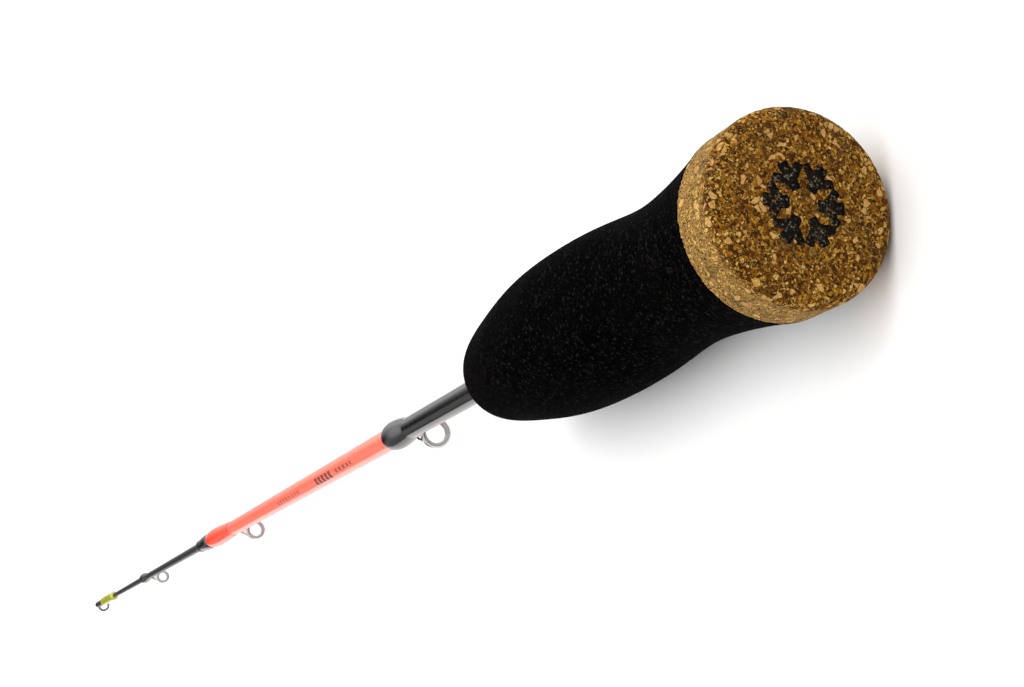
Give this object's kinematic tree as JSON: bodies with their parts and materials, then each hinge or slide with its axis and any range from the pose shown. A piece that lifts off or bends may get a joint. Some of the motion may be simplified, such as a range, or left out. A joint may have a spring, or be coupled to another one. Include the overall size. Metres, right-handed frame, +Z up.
{
  "type": "ice fishing rod",
  "caption": "Short ice-fishing rod with a cork-capped foam grip, a lacquered tapered blank, ring line guides and a bright band below the tip ring.",
  "frame": {"origin": "centre of the butt cap's flat end face", "axes": "+X along the rod from butt to tip, +Z up with the line guides hanging towards -Z, +Y to the left seen from the butt"},
  "size_m": [0.6302, 0.0278, 0.0278],
  "materials": {
    "cork": "matte",
    "mark_black": "matte",
    "foam": "matte",
    "tape": "matte",
    "blank_black": "gloss",
    "orange_lacquer": "gloss",
    "black_winding": "gloss",
    "orange_winding": "gloss",
    "yellow_winding": "gloss",
    "guide_metal": "polished",
    "guide_ceramic": "gloss",
    "tip_metal": "satin"
  },
  "bodies": {
    "handle_and_blank": {"butt_cap": "cork", "mark_ink": "mark_black", "grip": "foam", "tape_arbor_rear": "tape", "tape_arbor_centre": "tape", "tape_arbor_front": "tape", "blank_tube": "blank_black", "orange_lacquer": "orange_lacquer", "stripper_guide_frame": "guide_metal", "stripper_guide_insert": "guide_ceramic", "stripper_guide_thread": "black_winding", "stripper_guide_resin": "black_winding", "middle_guide_frame": "guide_metal", "middle_guide_insert": "guide_ceramic", "middle_guide_thread": "orange_winding", "middle_guide_resin": "orange_winding", "splice_thread": "black_winding", "splice_resin": "black_winding"},
    "tip": {"blank_tip": "blank_black", "front_guide_frame": "guide_metal", "front_guide_insert": "guide_ceramic", "front_guide_thread": "black_winding", "front_guide_resin": "black_winding", "tip_band_thread": "yellow_winding", "tip_band_resin": "yellow_winding", "tip_top_tube": "tip_metal", "tip_top_frame": "tip_metal", "tip_top_insert": "guide_ceramic"}
  },
  "joints": [
    {"name": "tip_flex", "type": "hinge", "parent": "handle_and_blank", "child": "tip", "pos_m": [0.424, 0, 0], "axis": [0, 1, 0], "range_deg": [-20, 45], "stiffness_Nm_per_rad": 0.2, "deforming": ["blank_tip"]}
  ]
}
